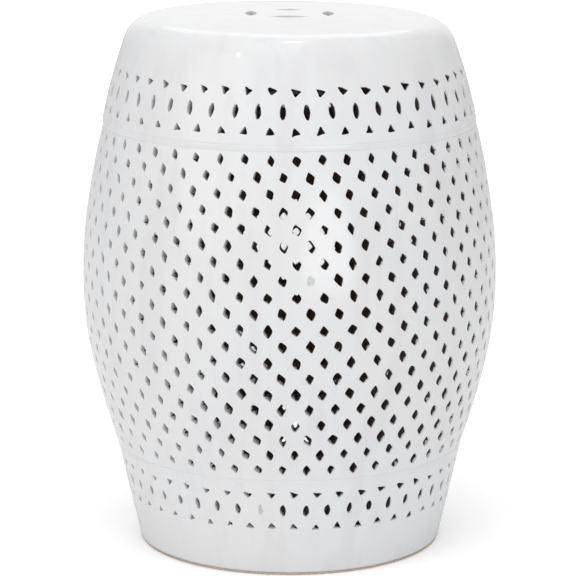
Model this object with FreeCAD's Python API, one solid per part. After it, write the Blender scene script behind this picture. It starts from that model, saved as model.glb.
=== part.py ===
# Ceramic garden stool: a hollow pierced drum, luted together from stoneware sections.
# Millimetres, +Z up. The origin is on the floor, under the middle of the stool.
import FreeCAD
import Part
import math
import os

Vector = FreeCAD.Vector
axis_origin = Vector(0, 0, 0)
axis_up = Vector(0, 0, 1)

# overall form
stool_height = 457.2
belly_diameter = 356.4
belly_height = 228.4
wall = 7.0
slip_layer = 0.3  # film of clay slip between two luted pieces
ring_bore_diameter = 217.6  # of both rings turned inwards, the seat's ledge and the base flange

# seat plate and shoulder
seat_diameter = 235.6
seat_rise = 3.6
seat_thickness = 9.0
shoulder_radius = 25.7
ledge_depth = 4.5
ledge_thickness = 5.0
ledge_root_angle = 60.0

# coin motif, four petals cut through the seat
petal_length = 32.0
petal_width = 10.0
side_petal_reach = 32.7
front_petal_reach = 23.5

# collar under the shoulder
collar_bow = 4.1  # degrees by which the collar leans further in than a plain cone
lip_round = 1.6

# upper seam, between the collar and the barrel
upper_seam_height = 364.2
upper_seam_diameter = 319.2
upper_bead_height = 4.9

# barrel, which comes in by the two drops before it straightens towards its seams
lower_blend_height = 166.3
lower_blend_drop = 6.4
upper_blend_height = 288.0
upper_blend_drop = 3.9

# lower seam, between the barrel and the base
lower_seam_height = 87.2
lower_seam_diameter = 298.6
lower_bead_height = 2.0
base_rim_step = 0.4

# stepped joints at both seams
joint_thickness = 8.4
spigot_thickness = 3.6
upper_spigot_height = 10.0
lower_spigot_height = 8.5
joint_taper = 6.0
bead_swell = 1.0
inner_coil_height = 7.0
inner_coil_depth = 4.0

# base, foot ring and flange
foot_diameter = 260.2
foot_rim_height = 2.2
foot_width = 16.0
foot_upstand = 12.0
foot_round = 1.0
flange_thickness = 8.0
flange_round = 2.5

# piercing, in columns that step by half a pitch from row to row
columns = 48
pattern_turn = 1.78  # degrees from the front to the first column
knife_reach = 3.5

diamond_rows = 20
diamond_width = 7.0
diamond_height = 9.3
diamond_top_margin = 6.8
diamond_bottom_margin = 11.2

collar_first_row = 11.6  # from the lip up to the lowest collar row
collar_row_pitch = 15.4
collar_triangle_width = 6.8
collar_triangle_height = 6.2
collar_lens_width = 5.2
collar_lens_height = 12.0

base_first_row = 11.1  # from the rim down to the highest base row
base_row_pitch = 14.0
base_triangle_width = 6.6
base_triangle_height = 4.6
base_lens_width = 5.4
base_lens_height = 8.6


class Bend:
    """Round stretch of the half section. A negative radius bends inwards."""

    def __init__(self, centre_r, centre_z, radius):
        self.centre_r = centre_r
        self.centre_z = centre_z
        self.radius = radius

    def radius_at(self, z, inset=0.0):
        reach = math.sqrt((self.radius - inset) ** 2 - (z - self.centre_z) ** 2)
        return self.centre_r + math.copysign(reach, self.radius)

    def normal_at(self, z):
        across = self.radius_at(z) - self.centre_r
        return Vector(across / self.radius, 0, (z - self.centre_z) / self.radius)

    def edge(self, start_z, end_z, inset=0.0):
        heights = (start_z, (start_z + end_z) / 2, end_z)
        points = [section_point(self.radius_at(z, inset), z) for z in heights]
        return Part.Arc(*points).toShape()


class Slope:
    """Straight stretch of the half section, between two of its points."""

    def __init__(self, bottom_r, bottom_z, top_r, top_z):
        self.bottom_r = bottom_r
        self.bottom_z = bottom_z
        self.flare = (top_r - bottom_r) / (top_z - bottom_z)
        self.lean = math.atan(self.flare)

    def radius_at(self, z, inset=0.0):
        return self.bottom_r + self.flare * (z - self.bottom_z) - inset / math.cos(self.lean)

    def normal_at(self, z):
        return Vector(math.cos(self.lean), 0, -math.sin(self.lean))


def section_point(r, z):
    return Vector(r, 0, z)


def line(start, end):
    return Part.LineSegment(section_point(*start), section_point(*end)).toShape()


def polyline(*points):
    return [line(start, end) for start, end in zip(points, points[1:])]


def curve(start, middle, end):
    return Part.Arc(section_point(*start), section_point(*middle), section_point(*end)).toShape()


def section_face(edges):
    return Part.Face(Part.Wire(Part.__sortEdges__(edges)))


def turned(edges):
    """Solid ring or disc, turned from its half section."""
    return section_face(edges).revolve(axis_origin, axis_up, 360)


def tangent_bend(start_r, start_z, start_lean, end_r, end_z):
    """Bend that leaves the start at a lean from the vertical and passes through the end."""
    normal_r = math.cos(start_lean)
    normal_z = math.sin(start_lean)
    step_r = end_r - start_r
    step_z = end_z - start_z
    radius = -(step_r**2 + step_z**2) / (2 * (step_r * normal_r + step_z * normal_z))
    return Bend(start_r - radius * normal_r, start_z - radius * normal_z, radius)


# half section of the barrel, from four bends
belly_radius = belly_diameter / 2
upper_seam_radius = upper_seam_diameter / 2
lower_seam_radius = lower_seam_diameter / 2


def barrel_half(blend_height, blend_drop, seam_radius, seam_height):
    """The bend beside the belly and the straighter one that runs on to the seam."""
    blend_radius = belly_radius - blend_drop
    near = tangent_bend(belly_radius, belly_height, 0.0, blend_radius, blend_height)
    lean = math.asin((blend_height - near.centre_z) / near.radius)
    far = tangent_bend(blend_radius, blend_height, lean, seam_radius, seam_height)
    inner_blend = blend_height - wall * near.normal_at(blend_height).z
    return near, far, inner_blend


upper_near, upper_far, upper_inner_blend = barrel_half(
    upper_blend_height, upper_blend_drop, upper_seam_radius, upper_seam_height
)
lower_near, lower_far, lower_inner_blend = barrel_half(
    lower_blend_height, lower_blend_drop, lower_seam_radius, lower_seam_height
)


def barrel_bend_at(z):
    if z > upper_blend_height:
        return upper_far
    if z > belly_height:
        return upper_near
    if z > lower_blend_height:
        return lower_near
    return lower_far


# half section of the seat, the shoulder and the collar
seat_radius = seat_diameter / 2
seat_edge_height = stool_height - seat_rise
crown_radius = (seat_radius**2 + seat_rise**2) / (2 * seat_rise)
crown_centre_height = stool_height - crown_radius
crown_lean = math.asin(seat_radius / crown_radius)
shoulder_r = seat_radius - shoulder_radius * math.sin(crown_lean)
shoulder_z = seat_edge_height - shoulder_radius * math.cos(crown_lean)
lip_height = upper_seam_height + upper_bead_height
lip_radius = upper_seam_radius
ledge_height = seat_edge_height - ledge_depth
ring_bore = ring_bore_diameter / 2

lip_run = lip_radius - shoulder_r
lip_drop = shoulder_z - lip_height
cone_lean = math.acos(shoulder_radius / math.hypot(lip_run, lip_drop)) - math.atan2(lip_drop, lip_run)
collar_lean = cone_lean + math.radians(collar_bow)


def shoulder_point(angle, inset=0.0):
    reach = shoulder_radius - inset
    return (shoulder_r + reach * math.cos(angle), shoulder_z + reach * math.sin(angle))


collar_top = shoulder_point(collar_lean)
collar_inner_top = shoulder_point(collar_lean, wall)
collar_bend = tangent_bend(*collar_top, collar_lean, lip_radius, lip_height)

# stepped joint radii
upper_bore = upper_seam_radius - joint_thickness
lower_bore = lower_seam_radius - joint_thickness
upper_spigot_radius = upper_bore + spigot_thickness
lower_spigot_radius = lower_bore + spigot_thickness
upper_spigot_top = upper_seam_height + upper_spigot_height
lower_spigot_bottom = lower_seam_height - lower_spigot_height

# half section of the base
base_rim_height = lower_seam_height - lower_bead_height
base_rim_radius = lower_seam_radius + base_rim_step
foot_radius = foot_diameter / 2
base_slope = Slope(foot_radius, 0.0, base_rim_radius, base_rim_height)

# piercing
column_pitch = 360.0 / columns


def triangle_outline(width, height, points_up):
    tip = height / 2 if points_up else -height / 2
    return [(-width / 2, -tip), (width / 2, -tip), (0, tip)]


def diamond_outline(width, height):
    return [(0, height / 2), (width / 2, 0), (0, -height / 2), (-width / 2, 0)]


def knife(surface, z, half_step, outline=None, lens=None):
    """Cutter for one hole, square to the wall, on an even (0) or an odd (1) column."""
    normal = surface.normal_at(z)
    rise = Vector(-normal.z, 0, normal.x)
    side = Vector(0, 1, 0)
    centre = section_point(surface.radius_at(z), z) + normal * knife_reach

    def place(across, up):
        return centre + side * across + rise * up

    if lens:
        half_width, half_height = lens[0] / 2, lens[1] / 2
        top, bottom = place(0, half_height), place(0, -half_height)
        sides = [
            Part.Arc(top, place(half_width, 0), bottom).toShape(),
            Part.Arc(bottom, place(-half_width, 0), top).toShape(),
        ]
        wire = Part.Wire(sides)
    else:
        corners = [place(*corner) for corner in outline]
        wire = Part.makePolygon(corners + corners[:1])
    cutter = Part.Face(wire).extrude(normal * -(joint_thickness + 2 * knife_reach))
    cutter.rotate(axis_origin, axis_up, half_step * column_pitch / 2)
    return cutter


def is_sector_side(face):
    """True for the two radial faces that a sector is cut off by."""
    if not isinstance(face.Surface, Part.Plane):
        return False
    normal = face.Surface.Axis
    middle = face.CenterOfMass
    radial = abs(normal.z) < 1e-6 and abs(middle.x * normal.x + middle.y * normal.y) < 1e-4
    return radial and face.Area > wall * wall


def pierced_ring(edges, knives):
    """Ring with its holes: one column pitch is cut, copied all round and sewn shut."""
    face = section_face(edges)
    face.rotate(axis_origin, axis_up, -column_pitch / 4)
    sector = face.revolve(axis_origin, axis_up, column_pitch).cut(knives).Solids[0]
    kept = [part for part in sector.Faces if not is_sector_side(part)]
    skin = []
    for column in range(columns):
        for part in kept:
            copy = part.copy()
            copy.rotate(axis_origin, axis_up, pattern_turn - 90 + column * column_pitch)
            skin.append(copy)
    shell = Part.makeCompound(skin)
    shell.sewShape()
    ring = Part.makeSolid(shell)
    if ring.Volume < 0:
        ring.reverse()
    return ring


def seat_plate():
    rim = seat_radius - slip_layer
    tail = ring_bore - slip_layer

    def crown(r, inset=0.0):
        return (r, crown_centre_height + math.sqrt((crown_radius - inset) ** 2 - r**2))

    top, under = crown(0), crown(0, seat_thickness)
    edges = [
        curve(top, crown(rim / 2), crown(rim)),
        *polyline(crown(rim), (rim, ledge_height), (tail, ledge_height), crown(tail, seat_thickness)),
        curve(crown(tail, seat_thickness), crown(tail / 2, seat_thickness), under),
        line(under, top),
    ]
    plate = turned(edges)
    return plate.cut([petal(turn, reach) for turn, reach in petal_places()])


def petal_places():
    for quarter in range(4):
        reach = front_petal_reach if quarter % 2 else side_petal_reach
        yield 90 * quarter, reach


def petal(turn, reach):
    """Cutter for one petal, a lens that lies across its own radius."""
    floor = ledge_height - seat_thickness
    half_length, half_width = petal_length / 2, petal_width / 2
    back, front = Vector(reach, half_length, floor), Vector(reach, -half_length, floor)
    outer = Part.Arc(back, Vector(reach + half_width, 0, floor), front).toShape()
    inner = Part.Arc(front, Vector(reach - half_width, 0, floor), back).toShape()
    cutter = Part.Face(Part.Wire([outer, inner])).extrude(axis_up * (2 * seat_thickness + ledge_depth))
    cutter.rotate(axis_origin, axis_up, turn)
    return cutter


def shoulder_collar():
    root_angle = math.radians(ledge_root_angle)
    middle_angle = (collar_lean + math.pi / 2 - crown_lean) / 2
    inner_middle = (collar_lean + root_angle) / 2
    ledge_root = shoulder_point(root_angle, wall)
    rebate = upper_spigot_radius + slip_layer
    rebate_top = upper_spigot_top + slip_layer
    inner_foot = (collar_bend.radius_at(rebate_top, wall), rebate_top)
    inner_middle_z = (collar_inner_top[1] + rebate_top) / 2
    lip_top = lip_height + lip_round
    lip_side = (collar_bend.radius_at(lip_top), lip_top)
    lip_under = (lip_side[0] - lip_round, lip_height)
    corner = lip_round * (1 - math.sqrt(0.5))
    edges = [
        curve(lip_under, (lip_side[0] - corner, lip_height + corner), lip_side),
        collar_bend.edge(lip_top, collar_top[1]),
        curve(collar_top, shoulder_point(middle_angle), (seat_radius, seat_edge_height)),
        *polyline(
            (seat_radius, seat_edge_height),
            (seat_radius, ledge_height),
            (ring_bore, ledge_height),
            (ring_bore, ledge_height - ledge_thickness),
            ledge_root,
        ),
        curve(ledge_root, shoulder_point(inner_middle, wall), collar_inner_top),
        curve(collar_inner_top, (collar_bend.radius_at(inner_middle_z, wall), inner_middle_z), inner_foot),
        *polyline(inner_foot, (rebate, rebate_top), (rebate, lip_height), lip_under),
    ]
    rows = [lip_height + collar_first_row + collar_row_pitch * row for row in range(3)]
    size = (collar_triangle_width, collar_triangle_height)
    knives = [
        knife(collar_bend, rows[0], 0, outline=triangle_outline(*size, points_up=True)),
        knife(collar_bend, rows[1], 1, lens=(collar_lens_width, collar_lens_height)),
        knife(collar_bend, rows[2], 0, outline=triangle_outline(*size, points_up=False)),
    ]
    return pierced_ring(edges, knives)


def lattice_barrel():
    upper_taper = upper_seam_height - joint_taper
    lower_taper = lower_seam_height + joint_taper
    edges = [
        lower_far.edge(lower_seam_height, lower_blend_height),
        lower_near.edge(lower_blend_height, belly_height),
        upper_near.edge(belly_height, upper_blend_height),
        upper_far.edge(upper_blend_height, upper_seam_height),
        *polyline(
            (upper_seam_radius, upper_seam_height),
            (upper_spigot_radius, upper_seam_height),
            (upper_spigot_radius, upper_spigot_top),
            (upper_bore, upper_spigot_top),
            (upper_bore, upper_seam_height),
            (upper_far.radius_at(upper_taper, wall), upper_taper),
        ),
        upper_far.edge(upper_taper, upper_inner_blend, wall),
        upper_near.edge(upper_inner_blend, belly_height, wall),
        lower_near.edge(belly_height, lower_inner_blend, wall),
        lower_far.edge(lower_inner_blend, lower_taper, wall),
        *polyline(
            (lower_far.radius_at(lower_taper, wall), lower_taper),
            (lower_bore, lower_seam_height),
            (lower_bore, lower_spigot_bottom),
            (lower_spigot_radius, lower_spigot_bottom),
            (lower_spigot_radius, lower_seam_height),
            (lower_seam_radius, lower_seam_height),
        ),
    ]
    top_row = upper_seam_height - diamond_top_margin
    bottom_row = lower_seam_height + diamond_bottom_margin
    row_pitch = (top_row - bottom_row) / (diamond_rows - 1)
    knives = []
    for row in range(diamond_rows):
        z = top_row - row * row_pitch
        shape = diamond_outline(diamond_width, diamond_height)
        knives.append(knife(barrel_bend_at(z), z, row % 2, outline=shape))
    return pierced_ring(edges, knives)


def seam_bead(spigot_radius, bottom, height, bottom_radius, top_radius):
    """Coil round a spigot, flat where it is pressed and round where it shows."""
    bore = spigot_radius + slip_layer
    top = bottom + height
    low, high = (bottom_radius - bead_swell, bottom), (top_radius - bead_swell, top)
    swell = ((bottom_radius + top_radius) / 2, (bottom + top) / 2)
    return turned([curve(low, swell, high), *polyline(high, (bore, top), (bore, bottom), low)])


def inner_coil(bore, bottom):
    """Half round coil pressed on the inside of a joint."""
    top = bottom + inner_coil_height
    crest = (bore - inner_coil_depth, (bottom + top) / 2)
    return turned([curve((bore, bottom), crest, (bore, top)), line((bore, top), (bore, bottom))])


def pierced_base():
    rebate = lower_spigot_radius + slip_layer
    rebate_bottom = lower_spigot_bottom - slip_layer
    bottom = foot_rim_height
    corners = [
        (base_slope.radius_at(bottom), bottom),
        (base_rim_radius, base_rim_height),
        (rebate, base_rim_height),
        (rebate, rebate_bottom),
        (base_slope.radius_at(rebate_bottom, wall), rebate_bottom),
        (base_slope.radius_at(bottom, wall), bottom),
    ]
    rows = [base_rim_height - base_first_row - base_row_pitch * row for row in range(3)]
    size = (base_triangle_width, base_triangle_height)
    knives = [
        knife(base_slope, rows[0], 0, outline=triangle_outline(*size, points_up=False)),
        knife(base_slope, rows[1], 1, lens=(base_lens_width, base_lens_height)),
        knife(base_slope, rows[2], 0, outline=triangle_outline(*size, points_up=True)),
    ]
    return pierced_ring(polyline(*corners, corners[0]), knives)


def foot_ring():
    inside = foot_radius - foot_width
    seat = base_slope.radius_at(foot_rim_height, wall) - slip_layer
    tread = (foot_radius - foot_round, 0.0)
    side = (base_slope.radius_at(foot_round), foot_round)
    corner = foot_round * (1 - math.sqrt(0.5))
    return turned([
        curve(tread, (foot_radius - corner, corner), side),
        *polyline(
            side,
            (base_slope.radius_at(foot_rim_height), foot_rim_height),
            (seat, foot_rim_height),
            (seat, foot_upstand),
            (inside, foot_upstand),
            (inside, 0.0),
            tread,
        ),
    ])


def base_flange():
    bottom, top = foot_upstand, foot_upstand + flange_thickness
    corner = flange_round * (1 - math.sqrt(0.5))
    return turned([
        curve(
            (ring_bore, top - flange_round),
            (ring_bore + corner, top - corner),
            (ring_bore + flange_round, top),
        ),
        *polyline(
            (ring_bore + flange_round, top),
            (base_slope.radius_at(top, wall) - slip_layer, top),
            (base_slope.radius_at(bottom, wall) - slip_layer, bottom),
            (ring_bore, bottom),
            (ring_bore, top - flange_round),
        ),
    ])


pieces = {
    "seat_plate": seat_plate(),
    "shoulder_collar": shoulder_collar(),
    "upper_seam_bead": seam_bead(
        upper_spigot_radius, upper_seam_height, upper_bead_height, upper_seam_radius, lip_radius
    ),
    "lattice_barrel": lattice_barrel(),
    "lower_seam_bead": seam_bead(
        lower_spigot_radius, base_rim_height, lower_bead_height, base_rim_radius, lower_seam_radius
    ),
    "pierced_base": pierced_base(),
    "foot_ring": foot_ring(),
    "base_flange": base_flange(),
    "upper_inner_coil": inner_coil(upper_bore, upper_spigot_top - inner_coil_height),
    "lower_inner_coil": inner_coil(lower_bore, lower_spigot_bottom),
}

os.makedirs("parts", exist_ok=True)
for name, shape in pieces.items():
    shape.exportStep(f"parts/{name}.step")
    box = shape.BoundBox
    print(
        f"{name}: valid {shape.isValid()}, solids {len(shape.Solids)}, faces {len(shape.Faces)},"
        f" volume {shape.Volume / 1000:.1f} cm3, z {box.ZMin:.1f} to {box.ZMax:.1f}"
    )
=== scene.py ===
import math
import random

import bpy
from mathutils import Matrix, Vector, noise


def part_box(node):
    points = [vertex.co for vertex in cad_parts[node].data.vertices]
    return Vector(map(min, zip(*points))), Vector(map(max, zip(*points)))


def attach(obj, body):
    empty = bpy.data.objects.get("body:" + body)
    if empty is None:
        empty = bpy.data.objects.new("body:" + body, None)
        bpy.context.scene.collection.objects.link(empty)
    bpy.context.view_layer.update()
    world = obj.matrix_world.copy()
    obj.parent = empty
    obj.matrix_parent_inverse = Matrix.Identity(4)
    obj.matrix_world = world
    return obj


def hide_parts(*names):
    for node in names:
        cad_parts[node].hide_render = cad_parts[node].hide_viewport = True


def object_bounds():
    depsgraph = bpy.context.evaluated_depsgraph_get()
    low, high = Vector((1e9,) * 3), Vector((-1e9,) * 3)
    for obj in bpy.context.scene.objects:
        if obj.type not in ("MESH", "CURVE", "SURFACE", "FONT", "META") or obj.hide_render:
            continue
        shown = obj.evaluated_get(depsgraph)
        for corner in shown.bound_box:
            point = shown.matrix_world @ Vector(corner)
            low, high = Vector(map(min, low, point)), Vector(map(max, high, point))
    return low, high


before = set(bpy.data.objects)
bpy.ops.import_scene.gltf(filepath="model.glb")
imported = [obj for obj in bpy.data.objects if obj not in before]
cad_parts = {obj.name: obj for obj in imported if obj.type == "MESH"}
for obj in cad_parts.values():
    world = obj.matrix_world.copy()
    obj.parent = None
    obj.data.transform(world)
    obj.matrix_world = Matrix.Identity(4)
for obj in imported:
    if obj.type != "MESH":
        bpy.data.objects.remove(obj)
cadLow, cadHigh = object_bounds()
print("frame loaded")

# what all the clay sections share, in metres unless it says degrees or is a share
clay = {
    "wall": 0.0070,
    "columns": 48,
    "frontTurn": -90,  # degrees
    "patternTurn": 1.78,  # degrees from the front to the first column
    "rimRound": 0.0010,
    "seamRound": 0.0007,
    "roundSteps": 2,
    "smoothAngle": 52,
    "coverLeft": 1.2,  # how far the glaze runs into a hole on its left wall and on its right one
    "coverRight": -2.0,
    "coverInside": -1.6,
    "coverLean": (0.97, 0.15),  # the glaze ran in from the right, and a little from above
    "coverStep": 0.9,
    "tipGuard": 1.55,  # the ring of points round a hole stands this much further off at its tips
    "zigzag": 0.0018,  # by which the cells of one row reach in between those of the next
    "cellMargin": 0.0002,
    "holeMargin": 0.0013,
    "fillDepth": 0.0024,
    "fillSteps": ((0.70, 1), (0.72, 3)),  # share of the width kept, and divider of the depth
    "trendSwing": 0.9,
    "trendRise": 11,
    "roughStep": 0.01,  # by which a seed shifts the noise of the rims
    "wobbleSpan": 0.07,
    "wobbleGain": 1.6,
    "wobbleStep": (1.7, 0.9, 2.3),  # by which a seed shifts the noise of the surface
    "noiseSeed": 7,  # the vector noise is different each run without it
    "probe": 0.0001,
    "mergeReach": 0.00002,
    "levelReach": 0.00001,
    "slack": 0.02,  # share by which a limit is widened before points are picked by it
}
columnAngle = 2 * math.pi / clay["columns"]
noise.seed_set(clay["noiseSeed"])


# small helpers
def deselectAll():
    if bpy.context.mode != "OBJECT":
        bpy.ops.object.mode_set(mode="OBJECT")
    bpy.ops.object.select_all(action="DESELECT")


def pick(piece):
    deselectAll()
    piece.select_set(True)
    bpy.context.view_layer.objects.active = piece


def inEditMode(piece, kind="VERT"):
    pick(piece)
    bpy.ops.object.mode_set(mode="EDIT")
    bpy.ops.mesh.select_mode(type=kind)
    bpy.ops.mesh.select_all(action="DESELECT")


def selectInEdit(piece, kind, chosen):
    inEditMode(piece, kind)
    bpy.ops.object.mode_set(mode="OBJECT")
    mesh = piece.data
    parts = {"VERT": mesh.vertices, "EDGE": mesh.edges, "FACE": mesh.polygons}[kind]
    for part in parts:
        part.select = chosen(part)
    bpy.ops.object.mode_set(mode="EDIT")


def joined(pieces, name):
    deselectAll()
    for piece in pieces:
        piece.select_set(True)
    bpy.context.view_layer.objects.active = pieces[0]
    bpy.ops.object.join()
    whole = bpy.context.object
    whole.name = name
    return whole


def copied(piece):
    pick(piece)
    bpy.ops.object.duplicate()
    return bpy.context.object


def mergeDoubles(piece):
    inEditMode(piece)
    bpy.ops.mesh.select_all(action="SELECT")
    bpy.ops.mesh.remove_doubles(threshold=clay["mergeReach"])
    bpy.ops.object.mode_set(mode="OBJECT")


def faceOutwards(piece):
    inEditMode(piece, "FACE")
    bpy.ops.mesh.select_all(action="SELECT")
    bpy.ops.mesh.normals_make_consistent(inside=False)
    bpy.ops.object.mode_set(mode="OBJECT")


def arrayed(piece, count, step):
    pick(piece)
    bpy.ops.object.modifier_add(type="ARRAY")
    array = piece.modifiers[-1]
    array.count = count
    array.use_relative_offset = False
    array.use_constant_offset = True
    array.constant_offset_displace = step
    bpy.ops.object.modifier_apply(modifier=array.name)


def smoothShaded(piece):
    pick(piece)
    bpy.ops.object.shade_smooth_by_angle(angle=math.radians(clay["smoothAngle"]))


def finished(piece, material, slotName, *nodes):
    piece.data.materials.clear()
    piece.data.materials.append(material)
    for face in piece.data.polygons:
        face.material_index = 0
    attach(piece, "root")
    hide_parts(*nodes)


# half section of the stool, from the frame's boxes
upperBeadLow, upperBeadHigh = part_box("upper_seam_bead")
lowerBeadLow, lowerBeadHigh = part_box("lower_seam_bead")
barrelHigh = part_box("lattice_barrel")[1]
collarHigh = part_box("shoulder_collar")[1]
footLow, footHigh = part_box("foot_ring")

section = {
    "bellyHeight": 0.2284,
    "upperBlendHeight": 0.2880,
    "upperBlendDrop": 0.0039,
    "lowerBlendHeight": 0.1663,
    "lowerBlendDrop": 0.0064,
    "seatRadius": 0.1178,
    "shoulderRadius": 0.0257,
    "collarBow": 4.1,  # degrees
    "hemHeight": 0.0022,
    "ringBore": 0.1088,
    "footRadius": 0.1301,
}
bellyRadius = barrelHigh.x
upperSeamRadius = upperBeadHigh.x
upperSeam = upperBeadLow.z
lipHeight = upperBeadHigh.z
lowerSeamRadius = lowerBeadHigh.x
lowerSeam = lowerBeadHigh.z
baseRim = lowerBeadLow.z
footRadius = section["footRadius"]
stoolHeight = cadHigh.z
seatEdge = collarHigh.z
seatRadius = section["seatRadius"]
ringBore = section["ringBore"]


def tangentBend(startR, startZ, startLean, endR, endZ):
    # arc (centre r, centre z, radius) that leaves the start at a lean and passes through the end
    normalR, normalZ = math.cos(startLean), math.sin(startLean)
    stepR, stepZ = endR - startR, endZ - startZ
    radius = -(stepR**2 + stepZ**2) / (2 * (stepR * normalR + stepZ * normalZ))
    return startR - radius * normalR, startZ - radius * normalZ, radius


def bendRadiusAt(bend, z):
    centreR, centreZ, radius = bend
    return centreR + math.copysign(math.sqrt(radius**2 - (z - centreZ) ** 2), radius)


def barrelHalf(blendHeight, blendDrop, seamRadius, seamHeight):
    blendRadius = bellyRadius - blendDrop
    near = tangentBend(bellyRadius, section["bellyHeight"], 0.0, blendRadius, blendHeight)
    lean = math.asin((blendHeight - near[1]) / near[2])
    return near, tangentBend(blendRadius, blendHeight, lean, seamRadius, seamHeight)


upperNear, upperFar = barrelHalf(
    section["upperBlendHeight"], section["upperBlendDrop"], upperSeamRadius, upperSeam
)
lowerNear, lowerFar = barrelHalf(
    section["lowerBlendHeight"], section["lowerBlendDrop"], lowerSeamRadius, lowerSeam
)


def barrelRadiusAt(z):
    if z > section["upperBlendHeight"]:
        return bendRadiusAt(upperFar, z)
    if z > section["bellyHeight"]:
        return bendRadiusAt(upperNear, z)
    if z > section["lowerBlendHeight"]:
        return bendRadiusAt(lowerNear, z)
    return bendRadiusAt(lowerFar, z)


seatRise = stoolHeight - seatEdge
crownRadius = (seatRadius**2 + seatRise**2) / (2 * seatRise)
crownCentre = stoolHeight - crownRadius
crownLean = math.asin(seatRadius / crownRadius)
shoulderRadius = section["shoulderRadius"]
shoulderR = seatRadius - shoulderRadius * math.sin(crownLean)
shoulderZ = seatEdge - shoulderRadius * math.cos(crownLean)
lipRun, lipDrop = upperSeamRadius - shoulderR, shoulderZ - lipHeight
coneLean = math.acos(shoulderRadius / math.hypot(lipRun, lipDrop)) - math.atan2(lipDrop, lipRun)
collarLean = coneLean + math.radians(section["collarBow"])
collarTopR = shoulderR + shoulderRadius * math.cos(collarLean)
collarTop = shoulderZ + shoulderRadius * math.sin(collarLean)
collarBend = tangentBend(collarTopR, collarTop, collarLean, upperSeamRadius, lipHeight)
shoulderLength = shoulderRadius * (math.pi / 2 - crownLean - collarLean)


def crownHeightAt(r):
    return crownCentre + math.sqrt(crownRadius**2 - r**2)


def capPoint(up):
    # up is the height as far as the collar's top, and then the way along the shoulder and the crown
    past = up - collarTop
    if past <= 0:
        return bendRadiusAt(collarBend, up), up
    if past <= shoulderLength:
        angle = collarLean + past / shoulderRadius
        return shoulderR + shoulderRadius * math.cos(angle), shoulderZ + shoulderRadius * math.sin(angle)
    r = seatRadius - (past - shoulderLength)
    return r, crownHeightAt(r)


def barrelPoint(up):
    return barrelRadiusAt(up), up


def basePoint(up):
    share = (up - footLow.z) / (baseRim - footLow.z)
    return footRadius + (lowerSeamRadius - footRadius) * share, up


# holes, drawn by their points clockwise from the top, as shares of half their width and height
knife = {
    "bluntTip": 0.94,
    "bluntSide": 0.93,
    "fullness": 1.08,
    "diamondSide": ((0.30, 0.70), (0.76, 0.24)),
    "triangleSide": (
        (0, 0.95),
        (0.28, 0.66),
        (0.66, -0.12),
        (0.95, -0.70),
        (0.86, -0.95),
        (0.44, -1),
        (0, -1),
    ),
    "lensSteps": 6,
    "petalSteps": 12,
    "petalPinch": 0.02,
    "borderSteps": 4,
    "tileInset": 0.3,
}


def mirrored(right):
    return right + [(-x, y) for x, y in reversed(right[1:-1])]


def diamondOutline(width, height):
    # the knife leaves the corners blunt and the sides a little full
    a, b = width / 2, height / 2
    full = knife["fullness"]
    side = [(a * x * full, b * y * full) for x, y in knife["diamondSide"]]
    quarter = [(0, b * knife["bluntTip"]), *side, (a * knife["bluntSide"], 0)]
    return mirrored(quarter + [(x, -y) for x, y in reversed(quarter[:3])])


def lensOutline(width, height, fullness):
    # 0 is a lens with two points, 1 is an ellipse
    a, b = width / 2, height / 2
    steps = knife["lensSteps"]
    right = []
    for k in range(steps + 1):
        up = math.cos(math.pi * k / steps)
        across = 0
        if k % steps:
            across = (1 - up * up) * (1 - fullness) + math.sqrt(1 - up * up) * fullness
        right.append((a * across, b * up))
    return mirrored(right)


def triangleOutline(width, height, tipUp):
    a, b = width / 2, height / 2
    right = [(a * x, b * y) for x, y in knife["triangleSide"]]
    if not tipUp:
        right = [(x, -y) for x, y in reversed(right)]
    return mirrored(right)


def cellBorder(width, height):
    a, b = width / 2, height / 2
    reach = clay["zigzag"]
    right = [(0, b + reach), (a / 2, b), (a, b - reach), (a, 0)]
    return mirrored(right + [(x, -y) for x, y in reversed(right[:3])])


def cutCell(name, outline, border, guard, middle=0.0):
    # a flat tile of clay with its hole: a disc, inset twice, whose three rings are then placed
    deselectAll()
    count = len(outline)
    bpy.ops.mesh.primitive_circle_add(vertices=count, radius=1.0, fill_type="NGON")
    tile = bpy.context.object
    tile.name = name
    bpy.ops.object.mode_set(mode="EDIT")
    bpy.ops.mesh.select_mode(type="FACE")
    bpy.ops.mesh.select_all(action="SELECT")
    bpy.ops.mesh.inset(thickness=knife["tileInset"])
    bpy.ops.mesh.inset(thickness=knife["tileInset"])
    bpy.ops.mesh.delete(type="ONLY_FACE")
    bpy.ops.object.mode_set(mode="OBJECT")
    wider = 1 + guard / max(x for x, y in outline)
    taller = 1 + guard * clay["tipGuard"] / max(y for x, y in outline)
    rings = [
        border,
        [(x * wider, y * taller + middle) for x, y in outline],
        [(x, y + middle) for x, y in outline],
    ]
    ring = tile.data.attributes.new("ring", "INT", "POINT")
    for vertex in tile.data.vertices:
        place = vertex.co
        level = min(2, round((1 - place.length) / knife["tileInset"]))
        clock = round((math.pi / 2 - math.atan2(place.y, place.x)) / (2 * math.pi / count)) % count
        x, y = rings[level][clock]
        ring.data[vertex.index].value = level
        vertex.co = (x, y, 0)
    return tile


def placedRow(tile, up, half, width):
    # one ring of tiles, laid out flat at its height, on an even (0) or an odd (1) column
    row = copied(tile)
    for vertex in row.data.vertices:
        vertex.co.x += half * width / 2
        vertex.co.y += up
    arrayed(row, clay["columns"], (width, 0, 0))
    return row


def levelEnds(sheet, low, high):
    # the zigzag of the outermost rows is pulled straight
    ring = sheet.data.attributes["ring"].data
    reach = clay["zigzag"] * (1 + clay["slack"])
    for vertex in sheet.data.vertices:
        if ring[vertex.index].value:
            continue
        for end in (low, high):
            if abs(vertex.co.y - end) < reach:
                vertex.co.y = end


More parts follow.
